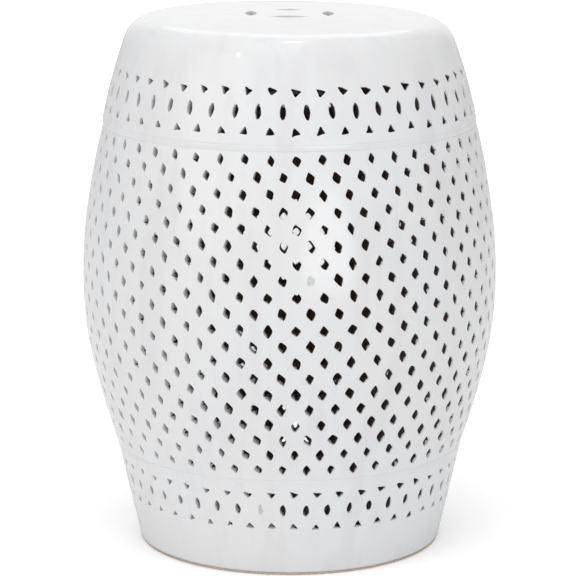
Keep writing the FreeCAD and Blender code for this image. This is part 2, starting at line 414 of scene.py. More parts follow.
def extendedTo(sheet, fromUp, stops):
    # the border at one height is pulled on to each of the stops
    selectInEdit(sheet, "EDGE", lambda edge: all(
        abs(sheet.data.vertices[i].co.y - fromUp) < clay["levelReach"] for i in edge.vertices
    ))
    for stop in stops:
        bpy.ops.mesh.extrude_edges_move(
            TRANSFORM_OT_translate={"value": (0, stop - fromUp, 0)}
        )
        fromUp = stop
    bpy.ops.object.mode_set(mode="OBJECT")


def pressed(place, wobble, seed):
    # a slow unevenness that only ever presses the clay inwards
    drift = Vector([seed * step for step in clay["wobbleStep"]])
    swing = noise.noise(place / clay["wobbleSpan"] + drift) * clay["wobbleGain"]
    return wobble * (0.5 + 0.5 * max(-1.0, min(1.0, swing)))


def wrapped(sheet, width, pointAt, wobble, seed):
    # the flat sheet goes round the stool, and its relief turns with it
    for vertex in sheet.data.vertices:
        turn = math.radians(clay["patternTurn"] + clay["frontTurn"]) + vertex.co.x / width * columnAngle
        r, z = pointAt(vertex.co.y)
        besideR, besideZ = pointAt(vertex.co.y + clay["probe"])
        along = Vector((besideR - r, besideZ - z)).normalized()
        depth = vertex.co.z
        depth -= pressed(Vector((math.cos(turn) * r, math.sin(turn) * r, z)), wobble, seed)
        r += along.y * depth
        z -= along.x * depth
        vertex.co = (math.cos(turn) * r, math.sin(turn) * r, z)
    mergeDoubles(sheet)
    faceOutwards(sheet)


def filledHole(sheet, up, column, width, pitch):
    # a hole that the glaze has closed keeps a shallow dent
    ring = sheet.data.attributes["ring"].data
    count = len(sheet.data.vertices)
    rim = set()
    for vertex in sheet.data.vertices:
        across, along = abs(vertex.co.x - column * width), abs(vertex.co.y - up)
        if ring[vertex.index].value == 2 and across < width / 3 and along < pitch / 2:
            rim.add(vertex.index)
    selectInEdit(sheet, "VERT", lambda vertex: vertex.index in rim)
    bpy.ops.mesh.edge_face_add()
    bpy.ops.mesh.select_mode(type="FACE")
    for share, divider in clay["fillSteps"]:
        sink = clay["fillDepth"] / divider
        bpy.ops.mesh.extrude_region_move(TRANSFORM_OT_translate={"value": (0, 0, -sink)})
        bpy.ops.transform.resize(value=(share, share, 1), center_override=(column * width, up, 0))
    bpy.ops.object.mode_set(mode="OBJECT")
    ring = sheet.data.attributes["ring"].data
    for index in range(count, len(sheet.data.vertices)):
        ring[index].value = 0


def nearestHole(place, byRow, level, width):
    # row number, column and middle of the hole that a point of the flat sheet belongs to
    found = []
    for index in (math.floor(level), math.ceil(level)):
        if index in byRow:
            up, half = byRow[index]
            column = round(place.x / width - half / 2)
            middle = (column + half / 2) * width
            found.append((math.hypot(place.x - middle, place.y - up), index, column, middle, up))
    return min(found)[1:]


def handCut(sheet, rows, width, pitch, radiusAt, habit, seed):
    # each hole has its own size, tilt and place, with a slow trend round the stool
    chance = random.Random(seed)
    bottom = min(up for up, half in rows)
    top = max(up for up, half in rows)
    byRow = {round((up - bottom) / pitch): (up, half) for up, half in rows}
    cuts = {}
    for index in sorted(byRow):
        up, half = byRow[index]
        rise = (up - bottom) / (top - bottom) * 2 - 1
        rowSize, rowTilt, rowShift = habit["byRow"].get(index, (1, 0, 0))
        for column in range(clay["columns"]):
            turn = (column + half / 2) * columnAngle
            swing = clay["trendSwing"] * math.sin(up * clay["trendRise"] + turn)
            trend = 0.5 + 0.5 * math.sin(turn + habit["phase"] + swing)
            grow = habit["size"][0] + (habit["size"][1] - habit["size"][0]) * trend
            grow *= rowSize * (1 - habit["smallerBehind"] * max(0, -math.cos(turn)))
            tilt = rowTilt + habit["tilt"][0] + (habit["tilt"][1] - habit["tilt"][0]) * trend
            narrow = 1 - habit["narrowLeft"] * max(0, -math.sin(turn))
            spread = habit["sizeSpread"]
            cuts[index, column] = {
                "tilt": math.radians(tilt + chance.gauss(0, habit["tiltSpread"])),
                "wide": grow * (1 + chance.gauss(0, spread)) * bellyRadius / radiusAt(up) * narrow,
                "tall": grow * (1 + chance.gauss(0, spread)),
                "across": habit["across"] + habit["twist"] * rise + chance.gauss(0, habit["shift"]),
                "along": rowShift - habit["sag"] * math.sin(turn) + chance.gauss(0, habit["shift"]),
                "lean": chance.gauss(0, habit["lean"]),
                "taper": chance.gauss(0, habit["taper"]) / pitch,
            }
    ring = sheet.data.attributes["ring"].data
    for vertex in sheet.data.vertices:
        level = ring[vertex.index].value
        if not level:
            continue
        index, column, middle, up = nearestHole(vertex.co, byRow, (vertex.co.y - bottom) / pitch, width)
        cut = cuts[index, column % clay["columns"]]
        place = Vector((vertex.co.x, vertex.co.y, seed * clay["roughStep"]))
        rough = noise.noise_vector(place / habit["roughSpan"])
        x = (vertex.co.x - middle) * cut["wide"] + rough.x * habit["rough"]
        y = (vertex.co.y - up) * cut["tall"] + rough.y * habit["rough"]
        x = x * (1 + cut["taper"] * y) + cut["lean"] * y
        sine, cosine = math.sin(cut["tilt"]), math.cos(cut["tilt"])
        x, y = x * cosine - y * sine + cut["across"], x * sine + y * cosine + cut["along"]
        outermost = up == (top if y > 0 else bottom)
        reach = 0 if outermost else clay["zigzag"] * (1 - min(1, abs(x) / width * 2) * 2)
        limit = pitch / 2 + reach - (clay["cellMargin"] if level == 1 else clay["holeMargin"])
        vertex.co.x = middle + x
        vertex.co.y = up + max(-limit, min(limit, y))


def holeSides(mesh):
    # for each rim point, from -1 on its hole's left wall to 1 on the right one; -1 all round a petal
    ring = mesh.attributes["ring"].data
    facing = {}
    for face in mesh.polygons:
        for index in face.vertices:
            if ring[index].value == 2:
                facing[index] = facing.get(index, Vector()) + face.center - mesh.vertices[index].co
    sides = {}
    for index, away in facing.items():
        place = mesh.vertices[index].co
        across, above = clay["coverLean"]
        side = Vector((-place.y, place.x, 0)).normalized() * across + Vector((0, 0, above))
        sides[index] = -1.0 if place.z > seatEdge else away.normalized().dot(side)
    return sides


def roundedRims(sheet, width, chosen):
    # the outer rims whose points are chosen get a soft edge
    mesh = sheet.data
    kinds = {}
    for face in mesh.polygons:
        for key in face.edge_keys:
            kinds.setdefault(key, set()).add(face.material_index)
    ring = mesh.attributes["ring"].data
    rims = set()
    for key, kind in kinds.items():
        if kind == {0, 1} and chosen(ring[key[0]].value, ring[key[1]].value):
            rims.add(key)
    selectInEdit(sheet, "EDGE", lambda edge: edge.key in rims)
    bpy.ops.mesh.bevel(offset=width, segments=clay["roundSteps"], affect="EDGES", clamp_overlap=True)
    bpy.ops.object.mode_set(mode="OBJECT")


def thickened(sheet):
    # the wall grows inwards, and three attributes tell the glaze where it runs in, where it is thin, and
    # which faces are the walls of holes
    mesh = sheet.data
    outer = len(mesh.vertices)
    ring = mesh.attributes["ring"].data
    cover = mesh.attributes.new("glazeCover", "FLOAT", "POINT")
    thin = mesh.attributes.new("thinGlaze", "FLOAT", "POINT")
    for index in range(outer):
        cover.data[index].value = 1.0
        rim = ring[index].value == 2 and mesh.vertices[index].co.z <= seatEdge
        thin.data[index].value = 1.0 if rim else 0.0
    sides = holeSides(mesh)
    pick(sheet)
    bpy.ops.object.modifier_add(type="SOLIDIFY")
    solidify = sheet.modifiers[-1]
    solidify.thickness = clay["wall"]
    solidify.offset = -1
    solidify.material_offset = 2
    solidify.material_offset_rim = 1
    for _ in range(3):
        mesh.materials.append(None)
    bpy.ops.object.modifier_apply(modifier=solidify.name)
    cover = sheet.data.attributes["glazeCover"].data
    for index in range(outer, len(sheet.data.vertices)):
        cover[index].value = clay["coverInside"]
        if index - outer in sides:
            share = max(0.0, min(1.0, 0.5 - clay["coverStep"] * sides[index - outer]))
            cover[index].value = clay["coverRight"] + (clay["coverLeft"] - clay["coverRight"]) * share
    roundedRims(sheet, clay["rimRound"], lambda first, second: first == 2 and second == 2)
    roundedRims(sheet, clay["seamRound"], lambda first, second: first != 2 and second != 2)
    holeWall = sheet.data.attributes.new("holeWall", "FLOAT", "FACE")
    for face in sheet.data.polygons:
        holeWall.data[face.index].value = 1.0 if face.material_index == 1 else 0.0


# materials
def newMaterial(name):
    material = bpy.data.materials.new(name)
    material.use_nodes = True
    tree = material.node_tree
    return material, tree, tree.nodes["Principled BSDF"]


def noiseOf(tree, vector, scale, detail, roughness=0.5):
    texture = tree.nodes.new("ShaderNodeTexNoise")
    texture.inputs["Scale"].default_value = scale
    texture.inputs["Detail"].default_value = detail
    texture.inputs["Roughness"].default_value = roughness
    tree.links.new(vector, texture.inputs["Vector"])
    return texture.outputs["Fac"]


def rangeOf(tree, value, low, high, toLow=0.0, toHigh=1.0):
    mapped = tree.nodes.new("ShaderNodeMapRange")
    mapped.interpolation_type = "SMOOTHSTEP"
    mapped.inputs["From Min"].default_value = low
    mapped.inputs["From Max"].default_value = high
    mapped.inputs["To Min"].default_value = toLow
    mapped.inputs["To Max"].default_value = toHigh
    tree.links.new(value, mapped.inputs["Value"])
    return mapped.outputs["Result"]


def mathOf(tree, operation, first, second):
    node = tree.nodes.new("ShaderNodeMath")
    node.operation = operation
    for socket, value in zip(node.inputs, (first, second)):
        if isinstance(value, (int, float)):
            socket.default_value = value
        else:
            tree.links.new(value, socket)
    return node.outputs[0]


def mixOf(tree, factor, first, second):
    mix = tree.nodes.new("ShaderNodeMix")
    mix.data_type = "RGBA"
    tree.links.new(factor, mix.inputs["Factor"])
    for name, value in (("A", first), ("B", second)):
        socket = [s for s in mix.inputs if s.name == name and s.type == "RGBA"][0]
        if isinstance(value, tuple):
            socket.default_value = (*value, 1)
        else:
            tree.links.new(value, socket)
    return [s for s in mix.outputs if s.type == "RGBA"][0]


def objectCoordinates(tree, scale=(1, 1, 1)):
    coordinates = tree.nodes.new("ShaderNodeTexCoord")
    mapping = tree.nodes.new("ShaderNodeMapping")
    mapping.inputs["Scale"].default_value = scale
    tree.links.new(coordinates.outputs["Object"], mapping.inputs["Vector"])
    return mapping.outputs["Vector"]


def attributeOf(tree, name):
    node = tree.nodes.new("ShaderNodeAttribute")
    node.attribute_name = name
    return node.outputs["Fac"]


def bumped(tree, shader, height, strength, distance):
    bump = tree.nodes.new("ShaderNodeBump")
    bump.inputs["Strength"].default_value = strength
    bump.inputs["Distance"].default_value = distance
    tree.links.new(height, bump.inputs["Height"])
    tree.links.new(bump.outputs["Normal"], shader.inputs["Normal"])


def lengthOf(tree, vector, centre=(0, 0, 0)):
    node = tree.nodes.new("ShaderNodeVectorMath")
    node.operation = "DISTANCE"
    node.inputs[1].default_value = centre
    tree.links.new(vector, node.inputs[0])
    return node.outputs["Value"]


glaze = {
    "warmWhite": (0.800, 0.796, 0.796),
    "coolWhite": (0.788, 0.799, 0.812),
    "thinTint": (0.640, 0.560, 0.530),
    "streakTint": (0.715, 0.700, 0.728),
    "clayInside": (0.340, 0.235, 0.172),
    "clayDark": (0.235, 0.152, 0.110),
    # bare clay of the hole walls, painted much darker than the clay inside as painted shade in the
    # narrow cuts
    "wallClayPaintedShade": (0.066, 0.046, 0.037),
    "gloss": 0.14,
    "dull": 0.78,
    "paintedGlint": (-0.041, -0.1329, 0.4396),  # painted highlight: a small spot on the shoulder painted pale, for a glint on the glaze
    "paintedGlintRadius": 0.0036,
    "paintedGlintWhite": (0.95, 0.95, 0.95),
    # noises: scale and detail
    "mottle": (9.0, 4.0),
    "bands": (42.0, 2.0),
    "streaks": (120.0, 3.0),
    "ripple": (210.0, 2.0),
    "swell": (26.0, 2.0),
    "grain": (420.0, 3.0),
    # ranges: from, to, and the weakest and the strongest result
    "mottleRange": (0.35, 0.65),
    "bandRange": (0.48, 0.66, 0.0, 0.32),
    "streakRange": (0.55, 0.75, 0.0, 0.22),
    "thinRange": (0.3, 0.7, 0.05, 0.35),
    "soilRange": (0.35, 0.65),
    "coverRange": (0.62, 0.80),
    "streakStretch": (1, 1, 0.10),
    "rippleShare": 0.05,
    "grainShare": 0.5,
    "bump": (0.35, 0.0008),
}


def whiteGlaze(name, tinted):
    material, tree, shader = newMaterial(name)
    place = objectCoordinates(tree)
    drawn = objectCoordinates(tree, glaze["streakStretch"])
    mottle = rangeOf(tree, noiseOf(tree, place, *glaze["mottle"]), *glaze["mottleRange"])
    colour = mixOf(tree, mottle, glaze["warmWhite"], glaze["coolWhite"])
    bands = rangeOf(tree, noiseOf(tree, drawn, *glaze["bands"]), *glaze["bandRange"])
    streaks = rangeOf(tree, noiseOf(tree, drawn, *glaze["streaks"]), *glaze["streakRange"])
    colour = mixOf(tree, mathOf(tree, "ADD", bands, streaks), colour, glaze["streakTint"])
    ripple = mathOf(tree, "MULTIPLY", noiseOf(tree, place, *glaze["ripple"]), glaze["rippleShare"])
    waves = mathOf(tree, "ADD", noiseOf(tree, place, *glaze["swell"]), ripple)
    bumped(tree, shader, waves, *glaze["bump"])
    if not tinted:
        tree.links.new(colour, shader.inputs["Base Color"])
        shader.inputs["Roughness"].default_value = glaze["gloss"]
        return material
    grain = noiseOf(tree, place, *glaze["grain"])
    # painted highlight: a small spot on the shoulder is painted paler, for a glint on the glaze
    toPaintedGlint = lengthOf(tree, place, glaze["paintedGlint"])
    paintedGlint = rangeOf(tree, toPaintedGlint, 0.0, glaze["paintedGlintRadius"], 1.0, 0.0)
    colour = mixOf(tree, paintedGlint, colour, glaze["paintedGlintWhite"])
    edge = rangeOf(tree, grain, *glaze["thinRange"])
    edge = mathOf(tree, "MULTIPLY", attributeOf(tree, "thinGlaze"), edge)
    colour = mixOf(tree, edge, colour, glaze["thinTint"])
    bareClayAndPaintedShade = mixOf(tree, rangeOf(tree, grain, *glaze["soilRange"]), glaze["clayDark"], glaze["clayInside"])
    # painted shade: the walls of the holes get a much darker clay than the inside, for the shade in the
    # narrow cuts
    bareClayAndPaintedShade = mixOf(tree, attributeOf(tree, "holeWall"), bareClayAndPaintedShade, glaze["wallClayPaintedShade"])
    uneven = mathOf(tree, "MULTIPLY", grain, glaze["grainShare"])
    run = mathOf(tree, "ADD", attributeOf(tree, "glazeCover"), uneven)
    covered = rangeOf(tree, run, *glaze["coverRange"])
    tree.links.new(mixOf(tree, covered, bareClayAndPaintedShade, colour), shader.inputs["Base Color"])
    dull = rangeOf(tree, covered, 0.0, 1.0, glaze["dull"], glaze["gloss"])
    tree.links.new(dull, shader.inputs["Roughness"])
    return material


bareClay = {
    "grain": (600.0, 4.0, 0.65),
    "cloud": (22.0, 3.0),
    "grainRange": (0.35, 0.7),
    "cloudRange": (0.45, 0.75, 0.0, 0.45),
    "bump": (0.5, 0.0006),
    "buffLight": (0.680, 0.600, 0.520),
    "buffDark": (0.540, 0.460, 0.385),
    "buffRough": 0.8,
    "brownRough": 0.85,
}


def rawClay(name, light, dark, roughness):
    material, tree, shader = newMaterial(name)
    place = objectCoordinates(tree)
    grain = noiseOf(tree, place, *bareClay["grain"])
    cloud = noiseOf(tree, place, *bareClay["cloud"])
    colour = mixOf(tree, rangeOf(tree, grain, *bareClay["grainRange"]), dark, light)
    colour = mixOf(tree, rangeOf(tree, cloud, *bareClay["cloudRange"]), colour, dark)
    tree.links.new(colour, shader.inputs["Base Color"])
    shader.inputs["Roughness"].default_value = roughness
    bumped(tree, shader, grain, *bareClay["bump"])
    return material


plainGlaze = whiteGlaze("white_glaze_smooth", False)
holeGlaze = whiteGlaze("white_glaze_pierced", True)
footClay = rawClay("buff_clay", bareClay["buffLight"], bareClay["buffDark"], bareClay["buffRough"])
innerClay = rawClay("brown_clay", glaze["clayInside"], glaze["clayDark"], bareClay["brownRough"])
print("materials ready")

# barrel with its lattice
barrel = {
    "rows": 20,
    "diamond": (0.0078, 0.0106),
    "bottomMargin": 0.0098,
    "guard": 0.0015,
    "seamStrip": 0.0018,
    "wobble": 0.0005,
    "filled": (7, 0.5),  # row from the top, column
    "seeds": (11, 3),  # of the cutting and of the unevenness
    "habit": {
        "byRow": {0: (0.86, 0, 0), 1: (0.90, 0, 0)},  # size, tilt and shift of some rows
        "smallerBehind": 0.14,
        "narrowLeft": 0.24,
        "phase": -0.5,
        "size": (0.95, 1.12),
        "tilt": (18, 3),
        "tiltSpread": 5.0,
        "sizeSpread": 0.06,
        "shift": 0.0003,
        "lean": 0.06,
        "taper": 0.35,
        "across": 0.0,
        "twist": 0.0008,
        "sag": 0.0005,
        "rough": 0.0009,
        "roughSpan": 0.004,
    },
}


def makeBarrel():
    width = columnAngle * bellyRadius
    bottom = lowerSeam + barrel["bottomMargin"]
    pitch = (upperSeam - bottom) / (barrel["rows"] - 0.5)
    top = upperSeam - pitch / 2
    border = cellBorder(width, pitch)
    tile = cutCell("diamondTile", diamondOutline(*barrel["diamond"]), border, barrel["guard"])
    rows = [(top - k * pitch, k % 2) for k in range(barrel["rows"])]
    lowest = [placedRow(tile, *row, width) for row in (rows[-1], rows[-2])]
    sheet = joined(lowest, "glazed_barrel")
    arrayed(sheet, barrel["rows"] // 2, (0, 2 * pitch, 0))
    bpy.data.objects.remove(tile)
    mergeDoubles(sheet)
    levelEnds(sheet, bottom - pitch / 2, upperSeam)
    handCut(sheet, rows, width, pitch, barrelRadiusAt, barrel["habit"], barrel["seeds"][0])
    row, column = barrel["filled"]
    filledHole(sheet, rows[row][0], column, width, pitch)
    extendedTo(sheet, bottom - pitch / 2, [lowerSeam + barrel["seamStrip"], lowerSeam])
    wrapped(sheet, width, barrelPoint, barrel["wobble"], barrel["seeds"][1])
    thickened(sheet)
    smoothShaded(sheet)
    finished(sheet, holeGlaze, "white_glaze", "lattice_barrel")


makeBarrel()
print("barrel pierced")

# cap: the collar, the shoulder and the seat are one casting
cap = {
    "firstRow": 0.0116,
    "rowPitch": 0.0154,
    "lowTriangle": (0.0070, 0.0068),
    "highTriangle": (0.0088, 0.0062),
    "lens": (0.0054, 0.0126),
    "fullness": 0.75,
    "guard": 0.0016,
    "seamStrip": 0.0018,
    "seeds": (23, 5),
    "collarRings": 3,
    "shoulderRings": 9,
    "crownRings": (0.112, 0.103, 0.092, 0.080, 0.069, 0.060),
    "coinRing": (0.012, 0.052),
    "petal": (0.0320, 0.0100),
    "backPetal": (0.0215, 0.0092),  # glaze has pooled in the tips of this one
    "petalReach": {0: 0.0235, 90: 0.0327, 180: 0.0235, 270: 0.0327},
    "petalGuard": 0.0022,
    "wobble": 0.0003,
    "lowerAtRight": 0.0016,
    "habit": {
        "byRow": {0: (1, 6, 0), 1: (1, 2, 0), 2: (1, -14, -0.0008)},
        "smallerBehind": 0.10,
        "narrowLeft": 0.12,
        "phase": 0.8,
        "size": (0.92, 1.09),
        "tilt": (2, -2),
        "tiltSpread": 4.0,
        "sizeSpread": 0.05,
        "shift": 0.0004,
        "lean": 0.08,
        "taper": 0.25,
        "across": 0.0,
        "twist": 0.0003,
        "sag": 0.0,
        "rough": 0.0008,
        "roughSpan": 0.004,
    },
}


def bandSheet(dims, lowest, radiusAt):
    # three rows from the lowest up: triangles, lenses half a column on, and triangles upside down
    width = columnAngle * bellyRadius
    pitch = dims["rowPitch"]
    border = cellBorder(width, pitch)
    rows = [(lowest + k * pitch, k % 2) for k in range(3)]
    outlines = [
        triangleOutline(*dims["lowTriangle"], True),
        lensOutline(*dims["lens"], dims["fullness"]),
        triangleOutline(*dims["highTriangle"], False),
    ]
    bands = []
    for row, outline in zip(rows, outlines):
        tile = cutCell("bandTile", outline, border, dims["guard"])
        bands.append(placedRow(tile, *row, width))
        bpy.data.objects.remove(tile)
    sheet = joined(bands, "band")
    mergeDoubles(sheet)
    levelEnds(sheet, rows[0][0] - pitch / 2, rows[-1][0] + pitch / 2)
    handCut(sheet, rows, width, pitch, radiusAt, dims["habit"], dims["seeds"][0])
    return sheet, width, rows[0][0] - pitch / 2, rows[-1][0] + pitch / 2


def petalOutline(length, breadth):
    a, b = length / 2, breadth / 2
    steps = knife["petalSteps"]
    right = []
    for k in range(steps + 1):
        across = math.sin(math.pi * k / steps)
        rise = b * (1 - across**2) if abs(across) < 1 else 0.0
        x = a * across * (1 - knife["petalPinch"] * across)
        right.append((x, math.copysign(rise, steps / 2 - k)))
    return mirrored(right)


def quarterBorder(inner, outer):
    # one quarter of a ring: its outer arc, a straight side and its inner arc
    steps = knife["borderSteps"]
    corner = math.pi / 4
    arc = [corner * k / steps for k in range(steps + 1)]
    right = [(outer * math.sin(angle), outer * math.cos(angle)) for angle in arc]
    for k in range(1, steps):
        r = outer + (inner - outer) * k / steps
        right.append((r * math.sin(corner), r * math.cos(corner)))
    right += [(inner * math.sin(angle), inner * math.cos(angle)) for angle in reversed(arc)]
    return mirrored(right)


def coinPatch():
    # four petals round a solid middle, laid flat and then lifted on to the crown
    petals = []
    for turn, reach in cap["petalReach"].items():
        border = quarterBorder(*cap["coinRing"])
        outline = petalOutline(*cap["petal" if turn else "backPetal"])
        petal = cutCell("petalTile", outline, border, cap["petalGuard"], reach)
        petal.data.transform(Matrix.Rotation(math.radians(turn), 4, "Z"))
        petals.append(petal)
    coin = joined(petals, "coin")
    mergeDoubles(coin)
    reach = cap["coinRing"][0] * (1 + clay["slack"])
    selectInEdit(coin, "VERT", lambda vertex: vertex.co.length < reach)
    bpy.ops.mesh.edge_face_add()
    bpy.ops.mesh.select_mode(type="FACE")
    bpy.ops.mesh.poke()
    bpy.ops.object.mode_set(mode="OBJECT")
    for vertex in coin.data.vertices:
        x, y = vertex.co.xy
        press = pressed(Vector((x, y, stoolHeight)), cap["wobble"], cap["seeds"][1])
        vertex.co.z = crownHeightAt(math.hypot(x, y)) - press
    return coin


def openEdges(piece, low, high):
    # keys of the edges with one face, whose middle lies between two radii
    uses = {}
    for face in piece.data.polygons:
        for key in face.edge_keys:
            uses[key] = uses.get(key, 0) + 1
    points = piece.data.vertices
    found = set()
    for key, count in uses.items():
        middle = (points[key[0]].co + points[key[1]].co) / 2
        if count == 1 and low < math.hypot(middle.x, middle.y) < high:
            found.add(key)
    return found


def makeCap():
    firstRow = lipHeight + cap["firstRow"]
    sheet, width, low, high = bandSheet(cap, firstRow, lambda up: bendRadiusAt(collarBend, up))
    extendedTo(sheet, low, [lipHeight + cap["seamStrip"], lipHeight])
    collar, shoulder = cap["collarRings"], cap["shoulderRings"]
    stops = [high + (collarTop - high) * (k + 1) / collar for k in range(collar)]
    stops += [collarTop + shoulderLength * (k + 1) / shoulder for k in range(shoulder)]
    stops += [collarTop + shoulderLength + seatRadius - r for r in cap["crownRings"]]
    extendedTo(sheet, high, stops)
    wrapped(sheet, width, capPoint, cap["wobble"], cap["seeds"][1])
    whole = joined([sheet, coinPatch()], "glazed_cap")
    inner, outer = cap["coinRing"][1], cap["crownRings"][-1]
    bridge = openEdges(whole, inner * (1 - clay["slack"]), outer * (1 + clay["slack"]))
    selectInEdit(whole, "EDGE", lambda edge: edge.key in bridge)
    bpy.ops.mesh.bridge_edge_loops()
    bpy.ops.object.mode_set(mode="OBJECT")
    faceOutwards(whole)
    for vertex in whole.data.vertices:
        share = (vertex.co.z - lipHeight) / (stoolHeight - lipHeight)
        across = vertex.co.x * math.hypot(vertex.co.x, vertex.co.y) / seatRadius**2
        vertex.co.z -= cap["lowerAtRight"] * share**2 * across
    thickened(whole)
    smoothShaded(whole)
    finished(whole, holeGlaze, "white_glaze", "shoulder_collar", "seat_plate")


makeCap()
print("cap pierced")

# base with its band
base = {
    "lowestRow": 0.0461,
    "rowPitch": 0.0140,
    "lowTriangle": (0.0086, 0.0064),
    "highTriangle": (0.0090, 0.0058),
    "lens": (0.0057, 0.0114),
    "fullness": 0.85,
    "guard": 0.0015,
    "seamStrip": 0.0018,
    "filled": (1, 46.5),  # row from the bottom, column
    "seeds": (37, 7),
    "wobble": 0.0005,
    "hemRings": (0.030, 0.020, 0.011, 0.0045),
    "habit": {
        "byRow": {0: (0.84, 1, -0.0008), 1: (0.93, 1, 0), 2: (0.89, -9, -0.0006)},
        "smallerBehind": 0.10,
        "narrowLeft": 0.12,
        "phase": -0.5,
        "size": (0.90, 1.06),
        "tilt": (3, -2),
        "tiltSpread": 4.0,
        "sizeSpread": 0.06,
        "shift": 0.0004,
        "lean": 0.05,
        "taper": 0.25,
        "across": -0.0008,
        "twist": 0.0,
        "sag": 0.0010,
        "rough": 0.0008,
        "roughSpan": 0.004,
    },
}


def makeBase():
    sheet, width, low, high = bandSheet(base, base["lowestRow"], lambda up: basePoint(up)[0])
    row, column = base["filled"]
    filledHole(sheet, base["lowestRow"] + row * base["rowPitch"], column, width, base["rowPitch"])
    extendedTo(sheet, high, [baseRim - base["seamStrip"], baseRim])
    extendedTo(sheet, low, [*base["hemRings"], section["hemHeight"]])
    wrapped(sheet, width, basePoint, base["wobble"], base["seeds"][1])
    thickened(sheet)
    smoothShaded(sheet)
    sheet.name = "glazed_base"
    finished(sheet, holeGlaze, "white_glaze", "pierced_base")


makeBase()
print("base pierced")

# rings, each turned from its half section
rings = {
    "steps": 192,
    "beadBack": 0.0060,
    "coilBack": 0.0030,
    "coilDepth": 0.0040,
    "coilHeight": 0.0070,
    "waver": 0.00025,
    "fineWaver": (0.3, 4),  # share of the waver, and how much finer it is
    "coilWaver": 3,  # times that of the beads
    "slump": 0.01,
    "arcSteps": 8,
    "beadDepth": 0.0004,
    "beadLap": 0.0003,
    "footWidth": 0.0160,
    "footRound": 0.0014,
    "flangeRound": 0.0025,
    "seeds": {"upperBead": 13, "lowerBead": 17, "coils": 19, "foot": 21, "flange": 27},
}
cornerShare = 1 - math.sqrt(0.5)  # of its radius, by which a rounded corner stands off the sharp one


def spunRing(name, profile, waver, seed):
    deselectAll()
    bpy.ops.mesh.primitive_circle_add(vertices=len(profile))
    ring = bpy.context.object
    ring.name = name
    for vertex, (r, z) in zip(ring.data.vertices, profile):
        vertex.co = (r, 0, z)
    bpy.ops.object.mode_set(mode="EDIT")
    bpy.ops.mesh.select_all(action="SELECT")
    bpy.ops.mesh.spin(steps=rings["steps"], angle=2 * math.pi, center=(0, 0, 0), axis=(0, 0, 1))
    bpy.ops.mesh.select_all(action="SELECT")
    bpy.ops.mesh.remove_doubles(threshold=clay["mergeReach"])
    bpy.ops.mesh.normals_make_consistent(inside=False)
    bpy.ops.object.mode_set(mode="OBJECT")
    middleZ = sum(z for r, z in profile) / len(profile)
    share, finer = rings["fineWaver"]
    for vertex in ring.data.vertices:
        place = vertex.co
        r = math.hypot(place.x, place.y)
        press = pressed(place, waver, seed) + share * pressed(place * finer, waver, seed + 1)
        place.x *= 1 - press / r
        place.y *= 1 - press / r
        place.z += (middleZ - place.z) * press / rings["slump"]
    return ring


def roundedBead(radius, low, high):
    # round where it shows, and smeared a little way over both joints
    low, high = low - rings["beadLap"], high + rings["beadLap"]
    points = [(radius - rings["beadBack"], low)]
    steps = rings["arcSteps"]
    for k in range(steps + 1):
        bulge = math.sin(math.pi * k / steps)
        rise = 0.5 - 0.5 * math.cos(math.pi * k / steps)
        points.append((radius - rings["beadDepth"] * (1 - bulge), low + (high - low) * rise))
    return points + [(radius - rings["beadBack"], high)]


def cornerRound(r, z, side):
    # three points of a rounded lower corner, from the level face round to the upright one
    size = rings["footRound"]
    cut = size * cornerShare
    return [(r + side * size, z), (r + side * cut, z + cut), (r, z + size)]


def footSection(low, high):
    # a tread with an upstand behind the hem
    inner = footRadius - rings["footWidth"]
    lip = section["hemHeight"]
    outer = basePoint(lip)[0]
    behind = outer - clay["wall"]
    tread = [*reversed(cornerRound(inner, low, 1)), *cornerRound(footRadius, low, -1)]
    return [*tread, (outer, lip), (behind, lip), (behind, high), (inner, high)]


def flangeSection(low, high, outer):
    inner = ringBore
    size = rings["flangeRound"]
    cut = size * cornerShare
    top = [(outer, high), (inner + size, high), (inner + cut, high - cut), (inner, high - size)]
    return [(outer, low), *top, (inner, low)]


def insideCoil(bore, low):
    back = bore + rings["coilBack"]
    high = low + rings["coilHeight"]
    middle, half = (low + high) / 2, (high - low) / 2
    points = [(back, high)]
    for k in range(rings["arcSteps"] + 1):
        angle = math.pi * k / rings["arcSteps"]
        points.append((bore - rings["coilDepth"] * math.sin(angle), middle + half * math.cos(angle)))
    return points + [(back, low)]


def makeRings():
    seeds = rings["seeds"]
    beads = (
        ("upper_bead", "upper_seam_bead", upperSeamRadius, upperSeam, lipHeight, seeds["upperBead"]),
        ("lower_bead", "lower_seam_bead", lowerSeamRadius, baseRim, lowerSeam, seeds["lowerBead"]),
    )
    for name, node, radius, low, high, seed in beads:
        bead = spunRing(name, roundedBead(radius, low, high), rings["waver"], seed)
        smoothShaded(bead)
        finished(bead, plainGlaze, "white_glaze", node)
    coilWaver = rings["waver"] * rings["coilWaver"]
    for name, node in (("upper_coil", "upper_inner_coil"), ("lower_coil", "lower_inner_coil")):
        nodeLow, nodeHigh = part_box(node)
        coil = spunRing(name, insideCoil(nodeHigh.x, nodeLow.z), coilWaver, seeds["coils"])
        smoothShaded(coil)
        finished(coil, innerClay, "inner_clay", node)
    foot = spunRing("clay_foot", footSection(footLow.z, footHigh.z), rings["waver"], seeds["foot"])
    smoothShaded(foot)
    finished(foot, footClay, "bare_clay", "foot_ring")
    flangeLow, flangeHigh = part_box("base_flange")
    profile = flangeSection(flangeLow.z, flangeHigh.z, flangeHigh.x)
    flange = spunRing("turned_flange", profile, rings["waver"], seeds["flange"])
    smoothShaded(flange)
    finished(flange, innerClay, "inner_clay", "base_flange")


makeRings()
print("rings turned")

